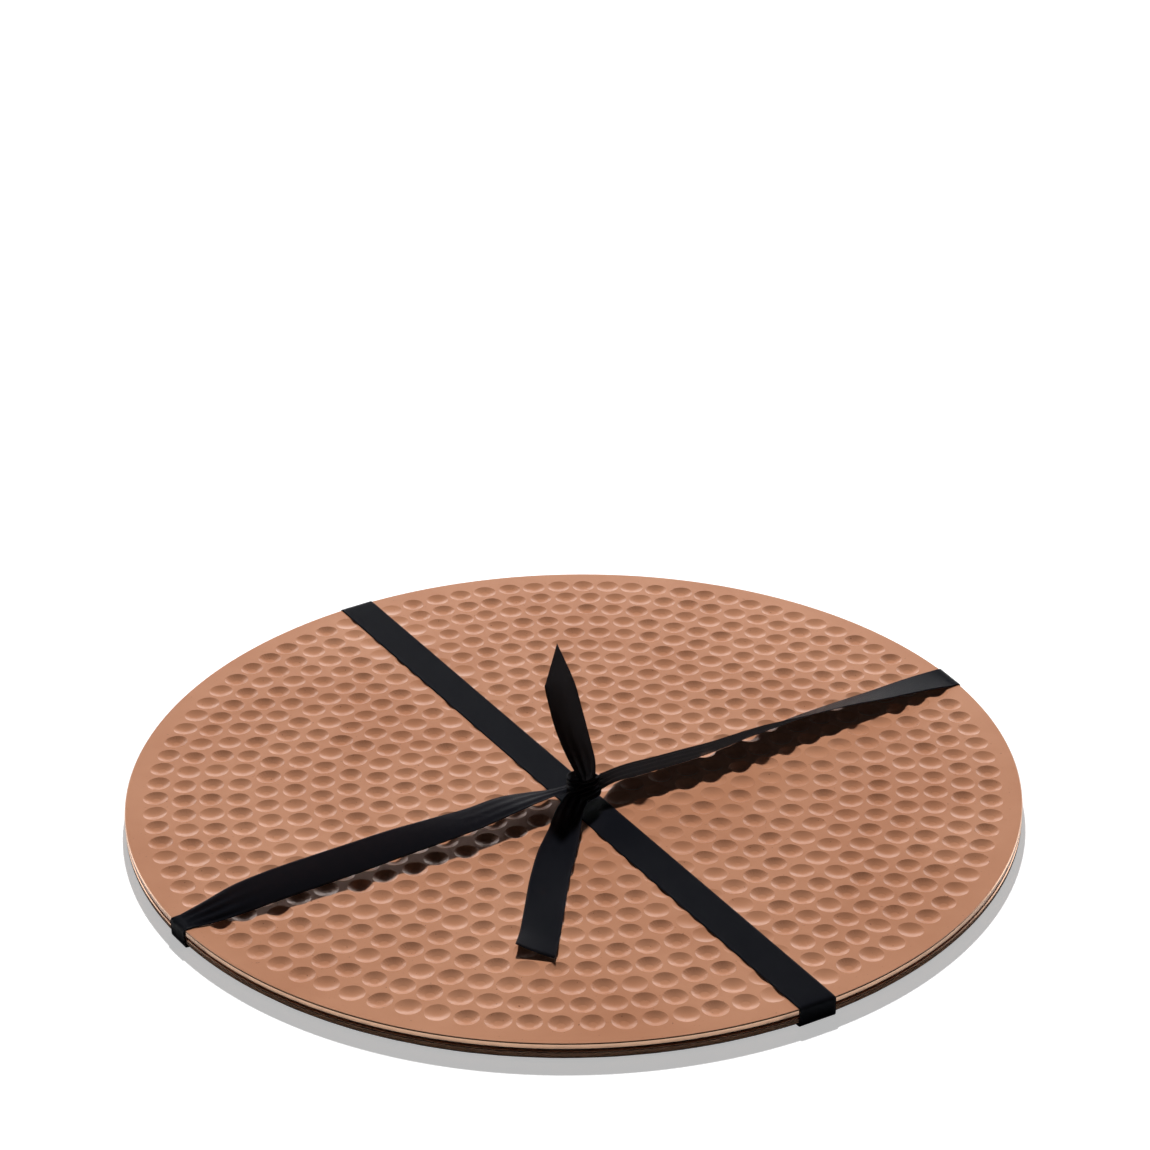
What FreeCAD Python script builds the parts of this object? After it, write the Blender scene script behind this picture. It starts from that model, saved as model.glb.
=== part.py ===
import FreeCAD, Part
import math
import os
import Sketcher

# Two equal round hammered copper trays, each on a thin soft backing, stacked and tied like a parcel
# with one half-inch ribbon. Millimetres; the origin lies under the middle of the stack, +Z is up.
# The ribbon has a frame of its own: +X runs along its right arm, +Y along the band towards the back,
# and the whole of it is turned about the trays' axis by ribbonTurn.

SIZES = {
    "trayDiameter": (300, "across one tray"),
    "trayThickness": (2, "plate"),
    "trayBevel": (0.3, "broken edge, top and bottom"),
    "smoothBorder": (6, "plain metal between the rim and the outer ring of hammer marks"),
    "markDiameter": (8.4, "across one hammer mark, corner to corner"),
    "markDepth": (0.45, "middle of a hammer mark below the face"),
    "markLand": (0.9, "metal left between neighbours in one ring"),
    "ringLand": (0.8, "metal left between two rings"),
    "ringShift": (47, "degrees from the start of one ring to the start of the next"),
    "backingThickness": (1, "soft backing"),
    "backingInset": (1, "backing stops this far inside the rim"),
    "ribbonWidth": (12.7, "half inch"),
    "ribbonThickness": (0.4, "satin ribbon"),
    "ribbonGap": (0.3, "from the ribbon to the metal or the knot beside it"),
    "ribbonTurn": (30.5, "degrees from +X to the right arm"),
    "bandOffset": (5, "band to the left of the trays' axis"),
    "armOffset": (12, "arms in front of the trays' axis"),
    "wrapReach": (4, "each wrap lies this far in over the faces"),
    "gatheredWidth": (8, "ribbon where it is drawn into the knot"),
    "armTilt": (55, "degrees that an arm stands up on edge at the knot"),
    "knotPull": (2.5, "knot in front of the line of the arms"),
    "knotWidth": (9, "across the flats"),
    "knotHeight": (11, "on top of the band"),
    "knotBevel": (2, "rounding of the knot, top and bottom"),
    "frontTailLength": (92, "from the middle of the knot"),
    "frontTailTurn": (-129, "degrees from the right arm"),
    "backTailLength": (36, "from the knot to the middle of its cut end"),
    "backTailLean": (68, "degrees up from level, leaning to the back"),
    "backTailSway": (-8, "sideways, at the cut end"),
    "tailCut": (50, "degrees of the slant cut on the back tail"),
}

UP = FreeCAD.Vector(0, 0, 1)
MARK_SIDES = 6
ARM_SPANS = 4

doc = FreeCAD.newDocument("HammeredTrays")


def fill_sheet():
    """Writes one row for each size: its name, its value with that name as alias, and what it is."""
    sheet = doc.addObject("Spreadsheet::Sheet", "Sizes")
    for row, (name, (value, note)) in enumerate(SIZES.items(), 1):
        sheet.set(f"A{row}", name)
        sheet.set(f"B{row}", str(value))
        sheet.setAlias(f"B{row}", name)
        sheet.set(f"C{row}", note)
    doc.recompute()
    return sheet


sizes = fill_sheet()

# Heights of the stack, from the surface it stands on: the ribbon's under stretches come first, because
# the stack rests on them.
LOWER_BACKING_FOOT = "Sizes.ribbonThickness"
LOWER_TRAY_FOOT = f"{LOWER_BACKING_FOOT} + Sizes.backingThickness"
UPPER_BACKING_FOOT = f"{LOWER_TRAY_FOOT} + Sizes.trayThickness"
UPPER_TRAY_FOOT = f"{UPPER_BACKING_FOOT} + Sizes.backingThickness"
STACK_TOP = f"{UPPER_TRAY_FOOT} + Sizes.trayThickness"
BAND_TOP = f"{STACK_TOP} + Sizes.ribbonThickness"

TRAY_RADIUS = "Sizes.trayDiameter / 2"
RIBBON_HALF = "Sizes.ribbonWidth / 2"
RUN_END = f"({TRAY_RADIUS} - Sizes.wrapReach)"


def value_of(expression):
    """The number that an expression on the sheet comes to."""
    return float(sizes.evalExpression(expression))


def new_body(label, foot="0", turn="0"):
    """A body that stands at a height and is turned about the trays' axis."""
    body = doc.addObject("PartDesign::Body", label)
    body.Label = label
    body.Placement = FreeCAD.Placement(FreeCAD.Vector(), FreeCAD.Rotation(UP, 1))
    body.setExpression("Placement.Base.z", foot)
    body.setExpression("Placement.Rotation.Angle", turn)
    return body


def new_sketch(body, name, role="XY_Plane"):
    """A sketch on one of the body's own origin planes."""
    plane = next(feature for feature in body.Origin.OriginFeatures if feature.Role == role)
    sketch = body.newObject("Sketcher::SketchObject", name)
    sketch.AttachmentSupport = (plane, [""])
    sketch.MapMode = "FlatFace"
    return sketch


def draw_circle(sketch, radius):
    """A circle round the origin."""
    circle = sketch.addGeometry(Part.Circle(FreeCAD.Vector(), UP, value_of(radius)), False)
    sketch.addConstraint(Sketcher.Constraint("Coincident", circle, 3, -1, 1))
    held = sketch.addConstraint(Sketcher.Constraint("Radius", circle, value_of(radius)))
    sketch.setExpression(f"Constraints[{held}]", radius)


def draw_outline(sketch, corners):
    """Straight sides through the corners, each corner held by two distances from the origin."""
    places = [FreeCAD.Vector(value_of(across), value_of(along), 0) for across, along in corners]
    for here, there in zip(places, places[1:] + places[:1]):
        sketch.addGeometry(Part.LineSegment(here, there), False)
    for side in range(len(corners)):
        sketch.addConstraint(Sketcher.Constraint("Coincident", side, 2, (side + 1) % len(corners), 1))
    for side, (corner, place) in enumerate(zip(corners, places)):
        for way, distance, number, axis in zip(("DistanceX", "DistanceY"), corner, place, (-2, -1)):
            if distance == "0":
                sketch.addConstraint(Sketcher.Constraint("PointOnObject", side, 1, axis))
                continue
            held = sketch.addConstraint(Sketcher.Constraint(way, -1, 1, side, 1, number))
            sketch.setExpression(f"Constraints[{held}]", distance)


def pad(body, sketch, length):
    """Raises a sketch into a plate."""
    plate = body.newObject("PartDesign::Pad", f"{sketch.Name}_pad")
    plate.Profile = sketch
    plate.setExpression("Length", length)
    doc.recompute()
    return plate


def bevel_level_edges(body, plate, size):
    """Breaks every edge that lies level, top and bottom."""
    level = [f"Edge{number}" for number, edge in enumerate(plate.Shape.Edges, 1)
             if edge.BoundBox.ZLength < value_of(size) / 2]
    bevel = body.newObject("PartDesign::Chamfer", f"{body.Name}_bevel")
    bevel.Base = (plate, level)
    bevel.setExpression("Size", size)
    doc.recompute()
    return bevel


# --- Trays: a flat round plate with a cut edge, broken top and bottom -------------------------------

def make_plate(label, foot):
    """One tray before hammering."""
    body = new_body(label, foot)
    outline = new_sketch(body, f"{label}_outline")
    draw_circle(outline, TRAY_RADIUS)
    plate = pad(body, outline, "Sizes.trayThickness")
    bevel_level_edges(body, plate, "Sizes.trayBevel")
    return body


def mark_places():
    """Centre and turn of every hammer mark: rings from the border inwards, and one in the middle."""
    mark = sizes.markDiameter
    radius = sizes.trayDiameter / 2 - sizes.smoothBorder - mark / 2
    ring = 0
    while radius >= mark + sizes.ringLand:
        count = int(2 * math.pi * radius / (mark + sizes.markLand))
        for number in range(count):
            turn = math.radians(360 * number / count + ring * sizes.ringShift)
            yield FreeCAD.Vector(radius * math.cos(turn), radius * math.sin(turn), 0), turn
        radius -= mark + sizes.ringLand
        ring += 1
    yield FreeCAD.Vector(), 0.0


def hammer_mark(centre, turn):
    """The rim of one mark, wound to bound a hole in the face, and the facets that slope to its middle."""
    spoke = sizes.markDiameter / 2
    middle = Part.Vertex(centre - UP * sizes.markDepth)
    rim = []
    for corner in range(MARK_SIDES):
        angle = turn - 2 * math.pi * corner / MARK_SIDES
        rim.append(Part.Vertex(centre + FreeCAD.Vector(spoke * math.cos(angle), spoke * math.sin(angle), 0)))
    sides = [Part.Edge(here, there) for here, there in zip(rim, rim[1:] + rim[:1])]
    creases = [Part.Edge(corner, middle) for corner in rim]
    facets = [Part.Face(Part.Wire([side, there, here])).reversed()
              for side, here, there in zip(sides, creases, creases[1:] + creases[:1])]
    return Part.Wire(sides), facets


def hammer(label, plate_body):
    """The plate with its top face beaten: the land is one pierced face, and every mark closes a hole."""
    plate = plate_body.Shape.copy()
    foot = plate.Placement.Base
    plate.Placement = FreeCAD.Placement()
    face = max(plate.Faces, key=lambda side: side.CenterOfMass.z)
    others = [side for side in plate.Faces if not side.isSame(face)]
    rims, facets = [], []
    for place, turn in mark_places():
        rim, slopes = hammer_mark(place + UP * sizes.trayThickness, turn)
        rims.append(rim)
        facets.extend(slopes)
    land = Part.Face([face.OuterWire] + rims)
    skin = Part.Compound([land] + others + facets)
    skin.sewShape()
    tray = doc.addObject("Part::Feature", label)
    tray.Label = label
    tray.Shape = Part.Solid(skin)
    tray.Placement = FreeCAD.Placement(foot, FreeCAD.Rotation())
    return tray


# --- Backings: soft discs glued under the plates ----------------------------------------------------

def make_backing(label, foot):
    """One backing, a little smaller than its tray."""
    body = new_body(label, foot)
    outline = new_sketch(body, f"{label}_outline")
    draw_circle(outline, f"{TRAY_RADIUS} - Sizes.backingInset")
    pad(body, outline, "Sizes.backingThickness")
    return body


# --- Ribbon: flat stretches over and under the stack ------------------------------------------------

def make_flat_stretch(label, foot, corners):
    """A stretch of ribbon that lies flat."""
    body = new_body(label, foot, "Sizes.ribbonTurn")
    outline = new_sketch(body, f"{label}_outline")
    draw_outline(outline, corners)
    pad(body, outline, "Sizes.ribbonThickness")
    return body


def make_flat_stretches():
    """The band over the top, and below it two stretches that each turn a square corner where they meet."""
    left, right = f"-Sizes.bandOffset - {RIBBON_HALF}", f"-Sizes.bandOffset + {RIBBON_HALF}"
    near, far = f"-Sizes.armOffset - {RIBBON_HALF}", f"-Sizes.armOffset + {RIBBON_HALF}"
    return [
        make_flat_stretch("ribbon_band", STACK_TOP, [
            (left, f"-{RUN_END}"), (right, f"-{RUN_END}"), (right, RUN_END), (left, RUN_END)]),
        make_flat_stretch("ribbon_under_left", "0", [
            (left, RUN_END), (left, far), (f"-{RUN_END}", far), (f"-{RUN_END}", near),
            (left, near), (right, far), (right, RUN_END)]),
        make_flat_stretch("ribbon_under_right", "0", [
            (right, f"-{RUN_END}"), (right, near), (RUN_END, near), (RUN_END, far),
            (right, far), (left, near), (left, f"-{RUN_END}")]),
    ]


# --- Ribbon: the four wraps over the rim ------------------------------------------------------------
# A thin skin is turned round the edge of the stack, and each wrap is the width of the ribbon cut from it.

def make_skin():
    """A channel section turned about the trays' axis, clear of the metal at the rim."""
    body = new_body("rim_skin")
    section = new_sketch(body, "rim_skin_section", "XZ_Plane")
    inside = f"{TRAY_RADIUS} + Sizes.ribbonGap"
    outside = f"{inside} + Sizes.ribbonThickness"
    lip = f"{TRAY_RADIUS} - 2 * Sizes.wrapReach"
    draw_outline(section, [
        (lip, "0"), (outside, "0"), (outside, BAND_TOP), (lip, BAND_TOP),
        (lip, STACK_TOP), (inside, STACK_TOP), (inside, "Sizes.ribbonThickness"), (lip, "Sizes.ribbonThickness")])
    skin = body.newObject("PartDesign::Revolution", "rim_skin_turned")
    skin.Profile = section
    skin.ReferenceAxis = (section, ["V_Axis"])
    skin.Angle = 360
    doc.recompute()
    return body


def make_wrap(label, skin, turn, offset):
    """One ribbon's width of the skin, cut on the +X side and then turned to its place."""
    cutter = doc.addObject("Part::Box", f"{label}_cutter")
    cutter.setExpression("Length", "2 * Sizes.wrapReach")
    cutter.setExpression("Width", "Sizes.ribbonWidth")
    cutter.setExpression("Height", BAND_TOP)
    cutter.setExpression("Placement.Base.x", RUN_END)
    cutter.setExpression("Placement.Base.y", f"{offset} - {RIBBON_HALF}")
    wrap = doc.addObject("Part::Common", label)
    wrap.Label = label
    wrap.Base = skin
    wrap.Tool = cutter
    wrap.Placement = FreeCAD.Placement(FreeCAD.Vector(), FreeCAD.Rotation(UP, 1))
    wrap.setExpression("Placement.Rotation.Angle", f"Sizes.ribbonTurn + {turn}")
    return wrap


def make_wraps():
    """Where the arms and the band go over the rim."""
    skin = make_skin()
    return [
        make_wrap("ribbon_wrap_right", skin, 0, "-Sizes.armOffset"),
        make_wrap("ribbon_wrap_back", skin, 90, "Sizes.bandOffset"),
        make_wrap("ribbon_wrap_left", skin, 180, "Sizes.armOffset"),
        make_wrap("ribbon_wrap_front", skin, 270, "-Sizes.bandOffset"),
    ]


# --- Ribbon: knot ------------------------------------------------------------------------------------

def knot_middle():
    """The middle of the knot in the ribbon's frame."""
    return FreeCAD.Vector(-sizes.bandOffset, -sizes.armOffset - sizes.knotPull,
                          value_of(BAND_TOP) + sizes.knotHeight / 2)


def make_knot():
    """The drawn-up knot, an eight-sided block with worn corners that sits on the band."""
    body = new_body("ribbon_knot", BAND_TOP, "Sizes.ribbonTurn")
    outline = new_sketch(body, "ribbon_knot_outline")
    corner = "Sizes.knotWidth / 2 / cos(22.5)"
    draw_outline(outline, [
        (f"-Sizes.bandOffset + {corner} * cos({angle})",
         f"-Sizes.armOffset - Sizes.knotPull + {corner} * sin({angle})")
        for angle in (22.5 + 45 * side for side in range(8))])
    block = pad(body, outline, "Sizes.knotHeight")
    bevel_level_edges(body, block, "Sizes.knotBevel")
    return body


# --- Ribbon: raised and loose stretches, folded from flat facets through cuts across them ------------

def cut_across(centre, across, through):
    """The corners of a rectangle: across is the ribbon's whole width, through its whole thickness."""
    return [centre + across * side / 2 + through * face / 2
            for side, face in ((-1, -1), (-1, 1), (1, 1), (1, -1))]


def flat_facet(*corners):
    """One flat face through its corners."""
    return Part.Face(Part.makePolygon([*corners, corners[0]]))


def make_raised_stretch(label, cuts, turn):
    """A stretch of ribbon through its cuts; where it twists, its two faces crease along one diagonal."""
    sections = [cut_across(*cut) for cut in cuts]
    facets = [flat_facet(*sections[0]), flat_facet(*reversed(sections[-1]))]
    for here, there in zip(sections, sections[1:]):
        left_under, left_over, right_over, right_under = here
        next_left_under, next_left_over, next_right_over, next_right_under = there
        facets += [
            flat_facet(left_over, next_left_over, next_right_over),
            flat_facet(left_over, next_right_over, right_over),
            flat_facet(left_under, next_right_under, next_left_under),
            flat_facet(left_under, right_under, next_right_under),
            flat_facet(left_under, next_left_under, next_left_over),
            flat_facet(left_under, next_left_over, left_over),
            flat_facet(right_over, next_right_over, next_right_under),
            flat_facet(right_over, next_right_under, right_under)]
    skin = Part.Compound(facets)
    skin.sewShape()
    stretch = doc.addObject("Part::Feature", label)
    stretch.Label = label
    stretch.Shape = Part.Solid(skin)
    stretch.Placement = FreeCAD.Placement(FreeCAD.Vector(), FreeCAD.Rotation(UP, turn))
    return stretch


def arm_cuts(side, tilt):
    """Cuts along one arm, from the rim to the knot: it rises at once and turns up on edge as it goes."""
    rim = FreeCAD.Vector(side * value_of(RUN_END), -sizes.armOffset,
                         value_of(STACK_TOP) + sizes.ribbonThickness / 2)
    knot = knot_middle() + FreeCAD.Vector(side * sizes.knotWidth / 2, 0, 0)
    for span in range(ARM_SPANS + 1):
        share = span / ARM_SPANS
        centre = rim + (knot - rim) * share
        centre.z = rim.z + (knot.z - rim.z) * (1 - (1 - share) ** 3)
        width = sizes.ribbonWidth + (sizes.gatheredWidth - sizes.ribbonWidth) * share ** 3
        angle = math.radians(tilt * share)
        across = FreeCAD.Vector(0, math.cos(angle), math.sin(angle))
        through = FreeCAD.Vector(0, -math.sin(angle), math.cos(angle))
        yield centre, across * width, through * sizes.ribbonThickness


def make_arms():
    """The left arm turns its face to the front, the right arm away from it."""
    return [
        make_raised_stretch("ribbon_arm_left", arm_cuts(-1, sizes.armTilt), sizes.ribbonTurn),
        make_raised_stretch("ribbon_arm_right", arm_cuts(1, -sizes.armTilt), sizes.ribbonTurn),
    ]


def front_tail_cuts():
    """Cuts along the front tail, which drops from the knot to the tray and lies on it to its end."""
    heading = FreeCAD.Rotation(UP, sizes.frontTailTurn).multVec(FreeCAD.Vector(1, 0, 0))
    across = heading.cross(UP)
    through = UP * sizes.ribbonThickness
    foot = knot_middle()
    start = sizes.knotWidth / 2 + sizes.ribbonGap
    lying = value_of(STACK_TOP) + sizes.ribbonGap + sizes.ribbonThickness / 2
    drop = knot_middle().z - sizes.knotHeight / 6 - lying
    for share, fall in ((0, 0), (0.15, 0.65), (0.4, 1), (0.7, 1), (1, 0.8)):
        centre = foot + heading * (start + (sizes.frontTailLength - start) * share)
        centre.z = lying + drop * (1 - fall)
        width = sizes.gatheredWidth if share == 0 else sizes.ribbonWidth
        yield centre, across * width, through


def back_tail_cuts():
    """Cuts up the back tail, which stands on the knot, leans back and ends in a slant cut."""
    knot = FreeCAD.Rotation(UP, sizes.ribbonTurn).multVec(knot_middle())
    foot = knot + UP * (sizes.knotHeight / 2 + sizes.ribbonGap)
    lean = math.radians(sizes.backTailLean)
    rise = FreeCAD.Vector(0, math.cos(lean), math.sin(lean))
    through = FreeCAD.Vector(0, math.sin(lean), -math.cos(lean)) * sizes.ribbonThickness
    end = foot + rise * sizes.backTailLength + FreeCAD.Vector(sizes.backTailSway, 0, 0)
    slant = FreeCAD.Vector(1, 0, 0) + rise * math.tan(math.radians(sizes.tailCut))
    level = FreeCAD.Vector(1, 0, 0)
    yield foot, level * sizes.gatheredWidth, FreeCAD.Vector(0, sizes.ribbonThickness, 0)
    yield foot + (end - foot) / 2, level * sizes.ribbonWidth, through
    yield end, slant * sizes.ribbonWidth, through


def make_tails():
    """One tail towards the front, and one that stands up."""
    return [
        make_raised_stretch("ribbon_tail_front", front_tail_cuts(), sizes.ribbonTurn),
        make_raised_stretch("ribbon_tail_back", back_tail_cuts(), 0),
    ]


def check(pieces):
    """Stops before anything is written if an object failed or a piece isn't one sound solid."""
    for item in doc.Objects:
        if "Invalid" in item.State or "Error" in item.State:
            raise RuntimeError(f"{item.Label} did not recompute: {item.State}")
    for piece in pieces:
        if piece.Shape.isNull() or not piece.Shape.isValid() or len(piece.Shape.Solids) != 1:
            raise RuntimeError(f"{piece.Label} is not one valid solid")


upper_plate = make_plate("upper_plate", UPPER_TRAY_FOOT)
pieces = [
    make_backing("lower_backing", LOWER_BACKING_FOOT),
    make_plate("lower_tray", LOWER_TRAY_FOOT),
    make_backing("upper_backing", UPPER_BACKING_FOOT),
    hammer("upper_tray", upper_plate),
    *make_flat_stretches(),
    *make_wraps(),
    make_knot(),
    *make_arms(),
    *make_tails(),
]
doc.recompute()
check(pieces)

os.makedirs("parts", exist_ok=True)
for piece in pieces:
    piece.Shape.exportStep(f"parts/{piece.Label}.step")
    box = piece.Shape.BoundBox
    print(f"{piece.Label:20} {piece.Shape.Volume:12.2f} mm3  x {box.XMin:8.2f} {box.XMax:8.2f}"
          f"  y {box.YMin:8.2f} {box.YMax:8.2f}  z {box.ZMin:6.2f} {box.ZMax:6.2f}")
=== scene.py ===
import math

import bmesh
import bpy
import numpy as np
from mathutils import Matrix, Vector


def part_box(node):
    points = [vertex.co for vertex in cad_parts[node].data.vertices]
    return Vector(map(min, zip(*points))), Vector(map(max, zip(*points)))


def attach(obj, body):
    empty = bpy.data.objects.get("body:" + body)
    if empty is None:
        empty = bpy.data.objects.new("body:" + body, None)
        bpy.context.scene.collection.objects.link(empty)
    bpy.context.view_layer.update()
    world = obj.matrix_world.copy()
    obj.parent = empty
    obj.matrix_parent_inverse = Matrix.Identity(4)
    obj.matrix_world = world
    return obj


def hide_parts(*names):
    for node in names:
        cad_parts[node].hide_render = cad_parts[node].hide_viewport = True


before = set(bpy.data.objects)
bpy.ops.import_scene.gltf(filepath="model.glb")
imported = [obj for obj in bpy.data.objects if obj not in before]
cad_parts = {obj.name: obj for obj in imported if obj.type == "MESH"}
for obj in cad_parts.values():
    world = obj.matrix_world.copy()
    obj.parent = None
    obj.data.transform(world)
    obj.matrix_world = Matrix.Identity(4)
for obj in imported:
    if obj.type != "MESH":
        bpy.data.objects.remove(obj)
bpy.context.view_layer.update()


# ---------------------------------------------------------------------------------------------
# The two hammered trays: round copper plates sawn from sheet, their edges filed round and bare,
# the upper face beaten in rings with a ball hammer and then lacquered.  They lie on each other,
# so the lower face is hidden and is left plain.

MM = 0.001


def new_group(name, kind, sockets_in, sockets_out):
    """An empty node group with named sockets, and its input and output nodes."""
    group = bpy.data.node_groups.new(name, kind)
    for label, socket, value in sockets_in:
        made = group.interface.new_socket(label, in_out="INPUT", socket_type=socket)
        if value is not None:
            made.default_value = value
    for label, socket in sockets_out:
        group.interface.new_socket(label, in_out="OUTPUT", socket_type=socket)
    return group, group.nodes.new("NodeGroupInput"), group.nodes.new("NodeGroupOutput")


def plug(tree, node, links):
    """Sets a node's inputs, by name or number, to values or to other nodes' sockets."""
    for key, value in dict(links).items():
        socket = node.inputs[key]
        if isinstance(value, bpy.types.NodeSocket):
            tree.links.new(value, socket)
        else:
            socket.default_value = value


def add(tree, kind, links=(), **settings):
    """Adds a node with these inputs and settings."""
    node = tree.nodes.new(kind)
    for name, value in settings.items():
        setattr(node, name, value)
    plug(tree, node, links)
    return node


def maths(tree, operation, *values):
    """A Math node's result."""
    return add(tree, "ShaderNodeMath", dict(enumerate(values)), operation=operation).outputs[0]


def vector(tree, x=0.0, y=0.0, z=0.0):
    """A vector made of three numbers."""
    return add(tree, "ShaderNodeCombineXYZ", {0: x, 1: y, 2: z}).outputs[0]


def parts(tree, value):
    """A vector's three numbers."""
    return add(tree, "ShaderNodeSeparateXYZ", {0: value}).outputs


def ramp(tree, value, start, end, low, high, **settings):
    """A value that goes from low to high while the given one goes from start to end."""
    return add(tree, "ShaderNodeMapRange", {0: value, 1: start, 2: end, 3: low, 4: high},
               **settings).outputs[0]


def mix_colour(tree, share, one, other):
    return add(tree, "ShaderNodeMix", {"Factor": share, 6: one, 7: other},
               data_type="RGBA").outputs[2]


def mix_number(tree, share, one, other):
    return add(tree, "ShaderNodeMix", {"Factor": share, 2: one, 3: other},
               data_type="FLOAT").outputs[0]


def noise(tree, place, scale, detail, roughness):
    return add(tree, "ShaderNodeTexNoise", {"Vector": place, "Scale": scale, "Detail": detail,
                                            "Roughness": roughness}).outputs["Fac"]


def position(tree):
    """The x, y and z of the points that a Geometry Nodes tree is working on."""
    return parts(tree, add(tree, "GeometryNodeInputPosition").outputs[0])


def make_tray_tree():
    """A round plate with a filed edge, whose face carries rings of hammer marks."""
    metre, number = "NodeSocketFloat", "NodeSocketInt"
    tree, given, result = new_group("Hammered tray", "GeometryNodeTree", [
        ("Radius", metre, 0.15), ("Thickness", metre, 0.002), ("Edge", metre, 0.0003),
        ("Border", metre, 0.006), ("Mark", metre, 0.0085), ("Depth", metre, 0.00132),
        ("Mark land", metre, 0.0008), ("Ring land", metre, 0.0007), ("Ring shift", metre, 0.8),
        ("Rings", number, 15), ("Wander", metre, 0.00025), ("Foot", metre, 0.0),
        ("Band turn", metre, math.radians(30.5)), ("Band middle", metre, -0.005),
        ("Seed", number, 1), ("Rim sides", number, 288), ("Mark sides", number, 20),
        ("Finish", "NodeSocketMaterial", None)], [("Geometry", "NodeSocketGeometry")])
    size = given.outputs

    # Where the hammer falls: one ring for each pass of the loop, and one mark in the middle.
    first = add(tree, "GeometryNodeRepeatInput")
    last = add(tree, "GeometryNodeRepeatOutput")
    first.pair_with_output(last)
    last.repeat_items.new("FLOAT", "Ring radius")
    last.repeat_items.new("INT", "Ring")
    pitch = maths(tree, "ADD", size["Mark"], size["Ring land"])
    half_mark = maths(tree, "MULTIPLY", size["Mark"], 0.5)
    inner = maths(tree, "SUBTRACT", size["Radius"], size["Border"])
    tree.links.new(size["Rings"], first.inputs["Iterations"])
    tree.links.new(maths(tree, "SUBTRACT", inner, half_mark), first.inputs["Ring radius"])
    middle = add(tree, "GeometryNodePoints", {"Count": 1})
    tree.links.new(middle.outputs[0], first.inputs["Geometry"])
    ring_radius = first.outputs["Ring radius"]
    around = maths(tree, "MULTIPLY", ring_radius, 2 * math.pi)
    step = maths(tree, "ADD", size["Mark"], size["Mark land"])
    count = maths(tree, "FLOOR", maths(tree, "DIVIDE", around, step))
    index = add(tree, "GeometryNodeInputIndex").outputs[0]
    share = maths(tree, "MULTIPLY", maths(tree, "DIVIDE", index, count), 2 * math.pi)
    start = maths(tree, "MULTIPLY", first.outputs["Ring"], size["Ring shift"])
    turn = maths(tree, "ADD", share, start)
    spot = vector(tree, maths(tree, "MULTIPLY", maths(tree, "COSINE", turn), ring_radius),
                  maths(tree, "MULTIPLY", maths(tree, "SINE", turn), ring_radius))
    ring = add(tree, "GeometryNodePoints", {"Count": count, "Position": spot})
    both = add(tree, "GeometryNodeJoinGeometry", {0: first.outputs["Geometry"]})
    tree.links.new(ring.outputs[0], both.inputs[0])
    tree.links.new(both.outputs[0], last.inputs["Geometry"])
    tree.links.new(maths(tree, "SUBTRACT", ring_radius, pitch), last.inputs["Ring radius"])
    tree.links.new(maths(tree, "ADD", first.outputs["Ring"], 1), last.inputs["Ring"])

    # No two blows are the same: each wanders a little, and differs in breadth, depth and ovalness.
    def chance(salt, low, high):
        return add(tree, "FunctionNodeRandomValue",
                   {2: low, 3: high, "Seed": maths(tree, "ADD", size["Seed"], salt)},
                   data_type="FLOAT").outputs[1]

    wander = vector(tree, maths(tree, "MULTIPLY", chance(1, -1, 1), size["Wander"]),
                    maths(tree, "MULTIPLY", chance(2, -1, 1), size["Wander"]))
    blows = add(tree, "GeometryNodeSetPosition",
                {"Geometry": last.outputs["Geometry"], "Offset": wander})

    # Those that the flat band of ribbon crosses are shallower, so that its edges lie close.
    crossed, clear, shallow = 0.0095, 0.0135, 0.45
    blow = position(tree)
    past = maths(tree, "ADD",
                 maths(tree, "MULTIPLY", blow[0], maths(tree, "COSINE", size["Band turn"])),
                 maths(tree, "MULTIPLY", blow[1], maths(tree, "SINE", size["Band turn"])))
    away = maths(tree, "ABSOLUTE", maths(tree, "SUBTRACT", past, size["Band middle"]))
    force = ramp(tree, away, crossed, clear, shallow, 1.0)
    spread = vector(tree, chance(3, 0.93, 1.0), chance(4, 0.89, 1.0),
                    maths(tree, "MULTIPLY", force, chance(5, 0.70, 1.15)))
    facing = vector(tree, z=chance(6, 0, 2 * math.pi))

    def on_blows(shape):
        return add(tree, "GeometryNodeInstanceOnPoints",
                   {"Points": blows.outputs[0], "Instance": shape,
                    "Rotation": facing, "Scale": spread}).outputs[0]

    # The land between the marks: the face's outline with a hole for every mark.
    hole = add(tree, "GeometryNodeCurvePrimitiveCircle",
               {"Resolution": size["Mark sides"], "Radius": half_mark})
    outline = add(tree, "GeometryNodeCurvePrimitiveCircle", {
        "Resolution": size["Rim sides"],
        "Radius": maths(tree, "SUBTRACT", size["Radius"], size["Edge"])})
    holes = add(tree, "GeometryNodeRealizeInstances", {0: on_blows(hole.outputs[0])})
    rings = add(tree, "GeometryNodeJoinGeometry", {0: outline.outputs[0]})
    tree.links.new(holes.outputs[0], rings.inputs[0])
    land = add(tree, "GeometryNodeFillCurve", {0: rings.outputs[0]})

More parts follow.
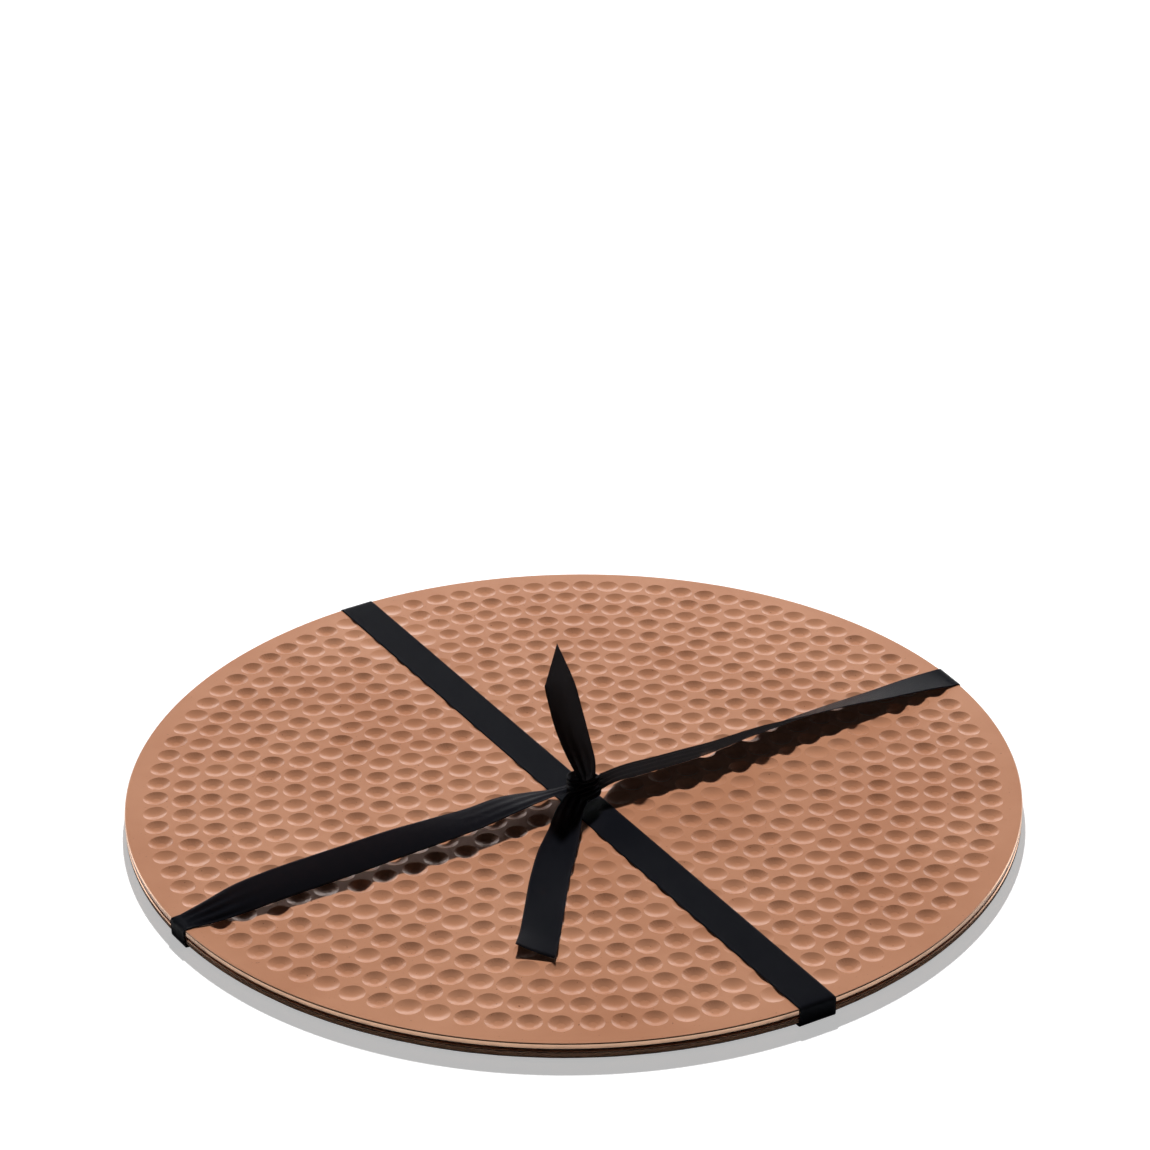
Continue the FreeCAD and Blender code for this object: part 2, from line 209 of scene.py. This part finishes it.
    # One mark: a shallow bowl, whose sides are drawn a little closer together towards its lip.
    crowding, fullness = 0.62, 1.65
    cone = add(tree, "GeometryNodeMeshCone",
               {"Vertices": size["Mark sides"], "Side Segments": 5, "Radius Top": 0.0,
                "Radius Bottom": half_mark, "Depth": 0.001}, fill_type="NONE")
    at = position(tree)
    reach = maths(tree, "SQRT", maths(tree, "ADD", maths(tree, "POWER", at[0], 2.0),
                                      maths(tree, "POWER", at[1], 2.0)))
    out = maths(tree, "DIVIDE", reach, half_mark)
    pull = maths(tree, "DIVIDE", maths(tree, "POWER", out, crowding),
                 maths(tree, "MAXIMUM", out, 0.001))
    sink = maths(tree, "SUBTRACT", maths(tree, "POWER", out, crowding * fullness), 1.0)
    bowl_point = vector(tree, maths(tree, "MULTIPLY", at[0], pull),
                        maths(tree, "MULTIPLY", at[1], pull),
                        maths(tree, "MULTIPLY", sink, size["Depth"]))
    bowl = add(tree, "GeometryNodeSetPosition",
               {"Geometry": cone.outputs[0], "Position": bowl_point})
    bowls = add(tree, "GeometryNodeRealizeInstances", {0: on_blows(bowl.outputs[0])})

    face = add(tree, "GeometryNodeJoinGeometry", {0: land.outputs[0]})
    tree.links.new(bowls.outputs[0], face.inputs[0])
    raised = add(tree, "GeometryNodeTransform",
                 {0: face.outputs[0], "Translation": vector(tree, z=size["Thickness"])})

    # The rim and the underside: a drum of three bands, its first and last ring drawn in.
    drum = add(tree, "GeometryNodeMeshCylinder",
               {"Vertices": size["Rim sides"], "Side Segments": 3, "Radius": size["Radius"],
                "Depth": size["Thickness"]}, fill_type="TRIANGLE_FAN")
    lidless = add(tree, "GeometryNodeDeleteGeometry",
                  {0: drum.outputs["Mesh"], 1: drum.outputs["Top"]}, domain="FACE")
    between_rings = 0.4  # the outer rings are at half the thickness, the inner ones at a sixth
    where = position(tree)
    outer = maths(tree, "GREATER_THAN", maths(tree, "ABSOLUTE", where[2]),
                  maths(tree, "MULTIPLY", size["Thickness"], between_rings))
    drawn = maths(tree, "SUBTRACT", 1.0,
                  maths(tree, "MULTIPLY", outer,
                        maths(tree, "DIVIDE", size["Edge"], size["Radius"])))
    half = maths(tree, "MULTIPLY", size["Thickness"], 0.5)
    level = maths(tree, "SUBTRACT", half,
                  maths(tree, "MULTIPLY", maths(tree, "SUBTRACT", 1.0, outer), size["Edge"]))
    height = maths(tree, "ADD", half,
                   maths(tree, "MULTIPLY", maths(tree, "SIGN", where[2]), level))
    rim_point = vector(tree, maths(tree, "MULTIPLY", where[0], drawn),
                       maths(tree, "MULTIPLY", where[1], drawn), height)
    rim = add(tree, "GeometryNodeSetPosition",
              {"Geometry": lidless.outputs[0], "Position": rim_point})

    whole = add(tree, "GeometryNodeJoinGeometry", {0: raised.outputs[0]})
    tree.links.new(rim.outputs[0], whole.inputs[0])
    weld_gap, crease = 0.00001, math.radians(7)
    welded = add(tree, "GeometryNodeMergeByDistance", {0: whole.outputs[0], "Distance": weld_gap})
    seated = add(tree, "GeometryNodeTransform",
                 {0: welded.outputs[0], "Translation": vector(tree, z=size["Foot"])})
    smooth = add(tree, "GeometryNodeSetShadeSmooth", {0: seated.outputs[0]}, domain="FACE")
    bend = add(tree, "GeometryNodeInputMeshEdgeAngle").outputs[0]
    crisp = add(tree, "GeometryNodeSetShadeSmooth",
                {0: smooth.outputs[0], 1: maths(tree, "GREATER_THAN", bend, crease), 2: False},
                domain="EDGE")
    plain = add(tree, "GeometryNodeRealizeInstances", {0: crisp.outputs[0]})
    coloured = add(tree, "GeometryNodeSetMaterial",
                   {0: plain.outputs[0], "Material": size["Finish"]})
    tree.links.new(coloured.outputs[0], result.inputs[0])
    return tree


def put(name, data):
    """A new object in the scene."""
    made = bpy.data.objects.new(name, data)
    bpy.context.scene.collection.objects.link(made)
    return made


def grow(name, tree, values):
    """Runs a tree with these input values and keeps its result as a plain mesh object."""
    seed = put(name + "_seed", bpy.data.meshes.new(name + "_seed"))
    modifier = seed.modifiers.new("tree", "NODES")
    modifier.node_group = tree
    for item in tree.interface.items_tree:
        if item.item_type == "SOCKET" and item.in_out == "INPUT" and item.name in values:
            modifier[item.identifier] = values[item.name]
    ready = seed.evaluated_get(bpy.context.evaluated_depsgraph_get())
    mesh = bpy.data.meshes.new_from_object(ready)
    bpy.data.objects.remove(seed)
    mesh.name = name
    return put(name, mesh)


def new_material(name):
    """A material, its tree and its main shader."""
    material = bpy.data.materials.new(name)
    material.use_nodes = True
    return material, material.node_tree, material.node_tree.nodes["Principled BSDF"]


def make_copper():
    """Lacquered copper with a soft shine, a little uneven in colour, and bare at its filed edge."""
    fresh, aged = (0.690, 0.325, 0.186, 1), (0.600, 0.262, 0.142, 1)
    tarnish, bare_metal = (0.30, 0.10, 0.05, 1), (0.93, 0.56, 0.36, 1)
    lacquer_ends, metal_begins = 0.14960, 0.14985
    material, tree, shader = new_material("Lacquered copper")
    place = add(tree, "ShaderNodeTexCoord").outputs["Object"]
    cloud = noise(tree, place, 14.0, 4.0, 0.6)
    tone = mix_colour(tree, ramp(tree, cloud, 0.36, 0.64, 0.0, 1.0), fresh, aged)
    specks = ramp(tree, noise(tree, place, 900.0, 2.0, 0.6), 0.70, 0.78, 0.0, 1.0)
    flat = add(tree, "ShaderNodeVectorMath", {0: place, 1: (1, 1, 0)}, operation="MULTIPLY")
    reach = add(tree, "ShaderNodeVectorMath", {0: flat.outputs[0]}, operation="LENGTH")
    edge = ramp(tree, reach.outputs["Value"], lacquer_ends, metal_begins, 0.0, 1.0)
    lacquered = mix_colour(tree, specks, tone, tarnish)
    gloss = ramp(tree, cloud, 0.3, 0.7, 0.46, 0.54)
    swell = noise(tree, place, 190.0, 2.0, 0.5)
    dents = add(tree, "ShaderNodeBump", {"Strength": 0.4, "Distance": 0.0002, "Height": swell})
    plug(tree, shader, {
        "Base Color": mix_colour(tree, edge, lacquered, bare_metal),
        "Metallic": ramp(tree, edge, 0.0, 1.0, 0.3, 1.0),
        "Roughness": mix_number(tree, edge, gloss, 0.22),
        "Specular IOR Level": 0.3, "Sheen Weight": 0.4, "Sheen Roughness": 0.3,
        "Coat Weight": 1.0, "Coat Roughness": 0.3, "Coat IOR": 1.65,
        "Normal": dents.outputs[0]})
    return material


copper = make_copper()
tray_tree = make_tray_tree()
for node, rings in (("upper_tray", 15), ("lower_tray", 0)):
    low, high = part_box(node)
    tray = grow(node + "_beaten", tray_tree, {
        "Radius": (high.x - low.x) / 2, "Thickness": 2 * MM, "Foot": low.z,
        "Rings": rings, "Seed": 7, "Finish": copper})
    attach(tray, "root")
    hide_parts(node)


# ---------------------------------------------------------------------------------------------
# The backings: a disc of thin black felt glued under each tray, so that it neither slides nor
# scratches the table.  Each is cut by hand, a little smaller than the tray.

def make_felt():
    """Black felt, matt, with a short nap."""
    material, tree, shader = new_material("Black felt")
    fibre = noise(tree, add(tree, "ShaderNodeTexCoord").outputs["Object"], 1400.0, 4.0, 0.7)
    nap = add(tree, "ShaderNodeBump", {"Strength": 0.8, "Distance": 0.0003, "Height": fibre})
    plug(tree, shader, {
        "Base Color": mix_colour(tree, fibre, (0.006, 0.006, 0.007, 1), (0.022, 0.021, 0.023, 1)),
        "Roughness": 0.95, "Specular IOR Level": 0.1, "Normal": nap.outputs[0]})
    return material


felt = make_felt()
pressed, bevel, ragged_by = 0.25 * MM, 0.2 * MM, 0.12 * MM
for node, tray in (("upper_backing", "upper_tray_beaten"), ("lower_backing", "lower_tray_beaten")):
    low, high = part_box(node)
    radius, sides = (high.x - low.x) / 2, 240
    cut = np.random.default_rng(11)
    mesh = bmesh.new()
    levels = []
    for z, draw in ((low.z, pressed), (low.z + bevel, 0), (high.z - bevel, 0), (high.z, pressed)):
        ragged = radius - draw - cut.uniform(0, ragged_by, sides)
        levels.append([mesh.verts.new((r * math.cos(a), r * math.sin(a), z)) for r, a in
                       zip(ragged, np.arange(sides) * 2 * math.pi / sides)])
    for below, above in zip(levels, levels[1:]):
        for i in range(sides):
            j = (i + 1) % sides
            mesh.faces.new((below[i], below[j], above[j], above[i]))
    for ring, z in ((levels[0][::-1], low.z), (levels[-1], high.z)):
        hub = mesh.verts.new((0, 0, z))
        for here, there in zip(ring, ring[1:] + ring[:1]):
            mesh.faces.new((here, there, hub))
    disc = bpy.data.meshes.new(node + "_felt")
    mesh.to_mesh(disc)
    mesh.free()
    disc.materials.append(felt)
    backing = put(node + "_felt", disc)
    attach(backing, "root")
    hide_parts(node)


# ---------------------------------------------------------------------------------------------
# The ribbon: one length of half-inch black satin with woven edges, tied round the pair as round
# a parcel.  It crosses the face as a flat band, turns under the stack, comes back over the left
# and right edges as two twisted arms, and is knotted over the band, which leaves two tails.

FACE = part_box("upper_tray")[1].z / MM
RIM = 150
WIDTH = 12.7
RIBBON_TURN = math.radians(30.5)
BAND_AT, ARMS_AT = -5, -12
HALF = WIDTH / 2
LOW_LAP, MID_LAP, HIGH_LAP = 0.12, 0.2, 0.28  # heights of the crossing laps under the stack
ON_FACE = FACE + 0.14


def tied(x, y, z):
    """A point in millimetres in the ribbon's own frame: x along the right arm, y along the band."""
    c, s = math.cos(RIBBON_TURN), math.sin(RIBBON_TURN)
    return np.array((x * c - y * s, x * s + y * c, z))


def arm_line(x, y, z, tilt, width=WIDTH, pleat=0.0, cup=0.0):
    """One line across an arm: its middle, how far its back edge is raised in degrees, its width."""
    half, lean = width / 2, math.radians(tilt)
    dy, dz = half * math.cos(lean), half * math.sin(lean)
    return (tied(x, y - dy, FACE + z - dz), tied(x, y + dy, FACE + z + dz), pleat, cup)


def over_rim(axis, sign, near, far, downwards=True):
    """Lines across the ribbon where it is pulled tight round the edges of the stack."""
    lines = []
    path = ((-3.0, FACE + 0.25), (-0.9, FACE + 0.22), (0.05, FACE + 0.05), (0.3, FACE - 0.5),
            (0.32, FACE / 2), (0.3, 0.9), (0.05, 0.3), (-1.2, 0.14), (-4.0, LOW_LAP))
    for out, z in path:
        ends = []
        for side in (near, far):
            reach = sign * (math.sqrt(RIM ** 2 - side ** 2) + out)
            ends.append(tied(reach, side, z) if axis == "x" else tied(side, reach, z))
        lines.append((*ends, 0.0, 0.0))
    return lines if downwards else lines[::-1]


def flat_line(near, far, z):
    """A level line across the ribbon."""
    return (tied(*near, z), tied(*far, z), 0.0, 0.0)


def band_line(y, z):
    """A level line across the band, or across its way back under the stack."""
    return flat_line((BAND_AT - HALF, y), (BAND_AT + HALF, y), z)


def arms_line(x, z):
    """A level line across the way of the arms, under the stack."""
    return flat_line((x, ARMS_AT - HALF), (x, ARMS_AT + HALF), z)


def fold_line(shift, z):
    """The diagonal along which the ribbon is folded from one way to the other."""
    return flat_line((BAND_AT - HALF + shift, ARMS_AT - HALF - shift),
                     (BAND_AT + HALF + shift, ARMS_AT + HALF - shift), z)


def loose_lines(*lines):
    """Lines across the loose ribbon, each with two ends given by x, y and height over the face."""
    return [(np.array((*a[:2], FACE + a[2])), np.array((*b[:2], FACE + b[2])), pleat, cup)
            for a, b, pleat, cup in lines]


front_tail = loose_lines(
    ((-18.4, -102.6, 3.2), (-6.2, -107.6, 1.0), 0.0, 0.4),
    ((-17.2, -93.0, 1.3), (-4.7, -94.5, 0.6), 0.0, 0.3),
    ((-16.2, -82.0, 0.5), (-3.6, -83.4, 0.7), 0.0, 0.3),
    ((-14.0, -60.0, 0.4), (-1.4, -61.4, 0.5), 0.0, 0.3),
    ((-11.6, -46.0, 0.8), (0.8, -47.6, 1.2), 0.03, 0.5),
    ((-8.2, -35.6, 2.4), (2.2, -35.8, 2.6), 0.2, 0.9),
    ((-5.6, -28.8, 5.4), (3.0, -28.4, 3.8), 0.5, 0.9),
    ((-2.4, -23.6, 8.2), (4.2, -22.6, 4.2), 0.8, 0.4))
front_half_knot = loose_lines(
    ((-2.4, -23.6, 8.2), (4.2, -22.6, 4.2), 0.8, 0.4),
    ((2.6, -20.6, 8.6), (5.6, -20.0, 3.6), 0.7, 0.3),
    ((7.6, -17.4, 8.6), (8.4, -16.6, 3.4), 0.6, 0.3),
    ((7.8, -12.4, 8.4), (8.2, -12.2, 3.2), 0.6, 0.3),
    ((3.8, -10.2, 9.0), (3.8, -10.0, 3.6), 0.6, 0.3),
    ((-1.0, -12.6, 9.6), (-1.0, -12.2, 4.2), 0.6, 0.3),
    ((-1.6, -17.2, 10.0), (-1.8, -17.0, 4.6), 0.6, 0.3),
    ((2.8, -20.0, 10.4), (2.6, -20.4, 5.2), 0.6, 0.3),
    ((7.2, -17.0, 10.2), (7.0, -16.8, 4.4), 0.6, 0.3),
    ((9.0, -12.8, 9.2), (9.6, -11.8, 3.0), 0.5, 0.2))
right_wrap = over_rim("x", 1, ARMS_AT - HALF, ARMS_AT + HALF)
right_arm = [
    (front_half_knot[-1][0], front_half_knot[-1][1], 0.5, 0.2),
    arm_line(9.0, -13.2, 5.3, -60, 10.4, 0.35, 0.3),
    arm_line(22.0, -13.4, 4.75, -58, 10.8, 0.15, 0.5),
    arm_line(32.6, -13.9, 4.65, -57, 10.8, 0.1, 0.3),
    arm_line(42.5, -14.4, 4.55, -55, 10.8, 0.05, 0.0),
    arm_line(53.8, -14.0, 4.45, -52, 11.0, 0.0, -0.4),
    arm_line(65.0, -13.0, 4.2, -46, 11.4, 0.0, -0.9),
    arm_line(76.0, -12.0, 3.7, -36, 12.2, 0.0, -1.0),
    arm_line(88.0, -11.5, 3.2, -29, 12.5, 0.0, -0.2),
    arm_line(99.0, -11.5, 2.9, -25, WIDTH, 0.0, 0.2),
    arm_line(118.0, -11.8, 1.9, -15, WIDTH, 0.0, 0.2),
    arm_line(139.0, -11.9, 0.9, -4, WIDTH, 0.0, 0.1),
    right_wrap[0]]
right_under = [
    right_wrap[-1],
    arms_line(60, LOW_LAP),
    fold_line(0.2, LOW_LAP)]
right_fold = [
    right_under[-1],
    fold_line(0.12, MID_LAP),
    fold_line(0.2, HIGH_LAP)]
front_wrap = over_rim("y", -1, BAND_AT - HALF, BAND_AT + HALF, downwards=False)
front_under = [
    right_fold[-1],
    band_line(-40, HIGH_LAP),
    band_line(-120, 0.14),
    front_wrap[0]]
back_wrap = over_rim("y", 1, BAND_AT - HALF, BAND_AT + HALF)
band = [front_wrap[-1],
        band_line(-60, ON_FACE),
        band_line(0, ON_FACE),
        band_line(60, ON_FACE),
        back_wrap[0]]
back_under = [
    back_wrap[-1],
    band_line(80, HIGH_LAP),
    fold_line(-0.2, HIGH_LAP)]
left_fold = [
    back_under[-1],
    fold_line(-0.12, MID_LAP),
    fold_line(-0.2, LOW_LAP)]
left_wrap = over_rim("x", -1, -14.6, -5.9, downwards=False)
left_under = [
    left_fold[-1],
    arms_line(-60, LOW_LAP),
    flat_line((-130, ARMS_AT - 5.6), (-130, ARMS_AT + 6.2), LOW_LAP),
    left_wrap[0]]
left_arm = [
    left_wrap[-1],
    arm_line(-138.5, -11.2, 1.7, 12, 10.2, 0.3, 0.3),
    arm_line(-129.0, -11.4, 3.0, 16, 12.0, 0.12, 0.4),
    arm_line(-118.0, -11.8, 4.0, 17, 12.6, 0.0, 0.5),
    arm_line(-100.0, -11.9, 4.5, 17, WIDTH, 0.0, 0.5),
    arm_line(-88.0, -12.1, 4.8, 16, WIDTH, 0.0, 0.4),
    arm_line(-74.0, -12.0, 5.1, 13, WIDTH, 0.0, 0.4),
    arm_line(-58.0, -12.2, 5.2, 7, WIDTH, 0.0, 0.4),
    arm_line(-44.0, -11.9, 5.1, 1, 12.6, 0.04, 0.3),
    arm_line(-32.0, -10.6, 5.1, -3, 12.4, 0.08, 0.3),
    arm_line(-21.0, -9.6, 4.3, -14, 12.4, 0.2, 0.3),
    arm_line(-13.2, -10.6, 4.0, -23, 10.2, 0.35, 0.5),
    arm_line(-6.0, -13.4, 5.2, -18, 6.6, 0.6, 0.4)]
back_half_knot = [left_arm[-1]] + loose_lines(
    ((0.8, -18.0, 5.2), (-0.6, -13.6, 7.4), 0.7, 0.3),
    ((2.8, -16.8, 7.4), (5.4, -13.0, 7.6), 0.7, 0.3),
    ((1.6, -15.4, 9.4), (7.2, -14.2, 9.8), 0.7, 0.5))
back_tail = [back_half_knot[-1]] + loose_lines(
    ((-1.0, -13.4, 13.6), (7.4, -13.2, 13.0), 0.4, 1.2),
    ((-5.3, -8.0, 22.4), (5.8, -9.1, 19.9), 0.1, 2.4),
    ((-7.6, -3.4, 29.6), (3.2, -4.0, 29.0), 0.0, 2.8),
    ((-8.9, -0.4, 35.0), (0.6, 0.9, 37.2), 0.0, 2.4),
    ((-8.7, 0.2, 36.0), (-4.7, 6.6, 48.0), 0.0, 0.6))


def smooth_lines(lines, straight, spacing):
    """Fills in lines between the given ones, along smooth curves or straight runs."""
    first = np.array([line[0] for line in lines])
    second = np.array([line[1] for line in lines])
    extra = np.array([[line[2], line[3]] for line in lines])
    every = np.hstack([first, second, extra])
    middle = (first + second) / 2
    gaps = np.maximum(np.linalg.norm(np.diff(middle, axis=0), axis=1), 0.05)
    knots = np.r_[0, np.cumsum(gaps)]
    if straight:
        slopes = None
    else:
        slopes = np.zeros_like(every)
        steps = np.diff(every, axis=0) / gaps[:, None]
        slopes[0], slopes[-1] = steps[0], steps[-1]
        for i in range(1, len(every) - 1):
            a, b = gaps[i - 1], gaps[i]
            slopes[i] = (steps[i - 1] * b + steps[i] * a) / (a + b)
    rows = []
    for i, gap in enumerate(gaps):
        count = max(1, int(math.ceil(gap / spacing)))
        for step in range(count):
            t = step / count
            if straight:
                rows.append(every[i] + (every[i + 1] - every[i]) * t)
            else:
                h00, h10 = 2 * t ** 3 - 3 * t ** 2 + 1, t ** 3 - 2 * t ** 2 + t
                h01, h11 = -2 * t ** 3 + 3 * t ** 2, t ** 3 - t ** 2
                rows.append(h00 * every[i] + h10 * gap * slopes[i]
                            + h01 * every[i + 1] + h11 * gap * slopes[i + 1])
    return rows


rows = []
for lines, straight, spacing in (
        (front_tail, False, 1.5), (front_half_knot, False, 0.7), (right_arm, False, 2.0),
        (right_wrap, True, 1.0), (right_under, True, 6.0), (right_fold, True, 1.0),
        (front_under, True, 6.0), (front_wrap, True, 1.0), (band, True, 6.0),
        (back_wrap, True, 1.0), (back_under, True, 6.0), (left_fold, True, 1.0),
        (left_under, True, 6.0), (left_wrap, True, 1.0), (left_arm, False, 2.0),
        (back_half_knot, False, 0.7), (back_tail, False, 1.2)):
    rows += smooth_lines(lines, straight, spacing)
last = back_tail[-1]
rows.append(np.hstack([last[0], last[1], [last[2], last[3]]]))
rows = np.array(rows)
first, second = rows[:, 0:3], rows[:, 3:6]
pleat, cup = rows[:, 6:7], rows[:, 7:8]
middle = (first + second) / 2
across = second - first
along = np.gradient(middle, axis=0)
normal = np.cross(along, across)
length = np.linalg.norm(normal, axis=1)
for i in range(len(normal)):
    normal[i] = normal[i] / length[i] if length[i] > 1e-9 else normal[i - 1]
strands, pleat_turn, pleat_start = 17, 3.2 * math.pi, 0.6
share = np.linspace(-1, 1, strands)
bulge = cup * (1 - share ** 2) + pleat * np.sin(pleat_turn * share + pleat_start)
points = (middle[:, None, :] + across[:, None, :] * share[None, :, None] / 2
          + normal[:, None, :] * bulge[:, :, None])
run = np.r_[0, np.cumsum(np.linalg.norm(np.diff(middle, axis=0), axis=1))]

mesh = bmesh.new()
grid = [[mesh.verts.new(p * MM) for p in row] for row in points]
weave_map = mesh.loops.layers.uv.new("weave")
for i in range(len(grid) - 1):
    for j in range(strands - 1):
        corners = ((i, j), (i, j + 1), (i + 1, j + 1), (i + 1, j))
        made = mesh.faces.new([grid[r][c] for r, c in corners])
        made.smooth = True
        for loop, (r, c) in zip(made.loops, corners):
            loop[weave_map].uv = (share[c] * WIDTH / 2 * MM, run[r] * MM)
sheet_mesh = bpy.data.meshes.new("ribbon")
mesh.to_mesh(sheet_mesh)
mesh.free()
ribbon = put("ribbon", sheet_mesh)
thick = ribbon.modifiers.new("thickness", "SOLIDIFY")
thick.thickness = 0.22 * MM
thick.offset = 0


def make_satin():
    """Black satin: fine lengthwise threads over a closer cross weave, with a cord at each edge.
    A little light comes through it where the lamp is behind."""
    dark_thread, light_thread = (0.0022, 0.0024, 0.0034, 1), (0.0088, 0.0092, 0.0125, 1)
    cord_colour, light_through = (0.012, 0.013, 0.016, 1), (0.09, 0.086, 0.088, 1)
    cord_begins, cord_full = 0.0055, 0.0059
    material, tree, shader = new_material("Black satin")
    woven = add(tree, "ShaderNodeUVMap", uv_map="weave").outputs[0]
    lengthwise = add(tree, "ShaderNodeMapping", {"Vector": woven, "Scale": (1, 0.04, 1)})
    crosswise = add(tree, "ShaderNodeMapping", {"Vector": woven, "Scale": (0.25, 1, 1)})
    threads = noise(tree, lengthwise.outputs[0], 5200.0, 2.0, 0.6)
    picks = noise(tree, crosswise.outputs[0], 3000.0, 1.0, 0.5)
    cloth = maths(tree, "ADD", maths(tree, "MULTIPLY", threads, 0.6),
                  maths(tree, "MULTIPLY", picks, 0.4))
    off_middle = maths(tree, "ABSOLUTE", parts(tree, woven)[0])
    cord = ramp(tree, off_middle, cord_begins, cord_full, 0.0, 1.0,
                interpolation_type="SMOOTHSTEP")
    tone = mix_colour(tree, cloth, dark_thread, light_thread)
    wear = maths(tree, "ADD", cloth, maths(tree, "MULTIPLY", cord, 0.4))
    lift = maths(tree, "ADD", cloth, maths(tree, "MULTIPLY", cord, 1.2))
    weave = add(tree, "ShaderNodeBump", {"Strength": 0.6, "Distance": 0.00012, "Height": lift})
    plug(tree, shader, {
        "Base Color": mix_colour(tree, maths(tree, "MULTIPLY", cord, 0.35), tone, cord_colour),
        "Roughness": ramp(tree, wear, 0.3, 0.9, 0.30, 0.55),
        "Specular IOR Level": 0.05, "Specular Tint": (0.72, 0.86, 1.0, 1),
        "Normal": weave.outputs[0]})
    through = add(tree, "ShaderNodeBsdfTranslucent", {"Color": light_through})
    lit = add(tree, "ShaderNodeAddShader", {0: shader.outputs[0], 1: through.outputs[0]})
    tree.links.new(lit.outputs[0], tree.nodes["Material Output"].inputs["Surface"])
    return material


sheet_mesh.materials.append(make_satin())
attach(ribbon, "root")
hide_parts("ribbon_band", "ribbon_under_left", "ribbon_under_right",
            "ribbon_wrap_right", "ribbon_wrap_back", "ribbon_wrap_left", "ribbon_wrap_front",
            "ribbon_knot", "ribbon_arm_left", "ribbon_arm_right", "ribbon_tail_front",
            "ribbon_tail_back")


# ---------------------------------------------------------------------------------------------
# The camera, the light and the floor: one small hard lamp high behind the trays, a plain pale
# floor, and a white surround.  Only the lacquer sees its low bright part, at the back.

floor_mesh = bpy.data.meshes.new("floor")
floor_mesh.from_pydata([(-6, -6, 0), (6, -6, 0), (6, 6, 0), (-6, 6, 0)], [], [(0, 1, 2, 3)])
floor = put("floor", floor_mesh)
paper, tree, shader = new_material("White paper")
seen = add(tree, "ShaderNodeLightPath").outputs["Is Camera Ray"]
plug(tree, shader, {
    "Base Color": (0.69, 0.69, 0.69, 1), "Roughness": 0.9, "Specular IOR Level": 0.0,
    "Emission Color": (1, 1, 1, 1), "Emission Strength": maths(tree, "MULTIPLY", seen, 0.46)})
floor_mesh.materials.append(paper)

dim, glow, side_glow = 0.02, 2.1, 0.30
world = bpy.data.worlds.new("Studio")
bpy.context.scene.world = world
world.use_nodes = True
tree = world.node_tree
tree.nodes.clear()
way = parts(tree, add(tree, "ShaderNodeTexCoord").outputs["Generated"])
rise = ramp(tree, way[2], 0.18, 0.38, glow, dim, interpolation_type="SMOOTHSTEP")
behind = ramp(tree, way[1], -0.4, 0.5, side_glow, 1.0, interpolation_type="SMOOTHSTEP")
low = ramp(tree, way[2], 0.02, 0.15, 0.15, 1.0)
sweep = maths(tree, "MULTIPLY", low, maths(tree, "MULTIPLY", rise, behind))
light_path = add(tree, "ShaderNodeLightPath").outputs
mirrored = mix_number(tree, light_path["Is Glossy Ray"], dim, sweep)
strength = mix_number(tree, light_path["Is Camera Ray"], mirrored, 1.0)
sky = add(tree, "ShaderNodeBackground", {"Color": (1, 1, 1, 1), "Strength": strength})
add(tree, "ShaderNodeOutputWorld", {0: sky.outputs[0]})

lamp_data = bpy.data.lights.new("key", "AREA")
lamp_data.shape = "DISK"
lamp_data.size = 0.17
lamp_data.energy = 204.0
lamp = put("key", lamp_data)
lamp.location = (-0.02, 2.52, 2.46)
lamp.rotation_euler = lamp.location.to_track_quat("Z", "Y").to_euler()
lamp.visible_glossy = False

camera = put("camera", bpy.data.cameras.new("camera"))
camera.data.lens = 92.705
camera.data.sensor_width = 36
camera.data.clip_start, camera.data.clip_end = 0.05, 20
right = Vector((0.99988815, -0.00824752, -0.01247635))
up = Vector((0.01486746, 0.45750813, 0.88908114))
ahead = Vector((0.00162468, 0.88916719, -0.45757958))
turned = Matrix((right, up, -ahead)).transposed().to_4x4()
camera.matrix_world = Matrix.Translation((0, -0.855872, 0.523588)) @ turned
bpy.context.scene.camera = camera
bpy.context.scene.view_settings.view_transform = "Standard"
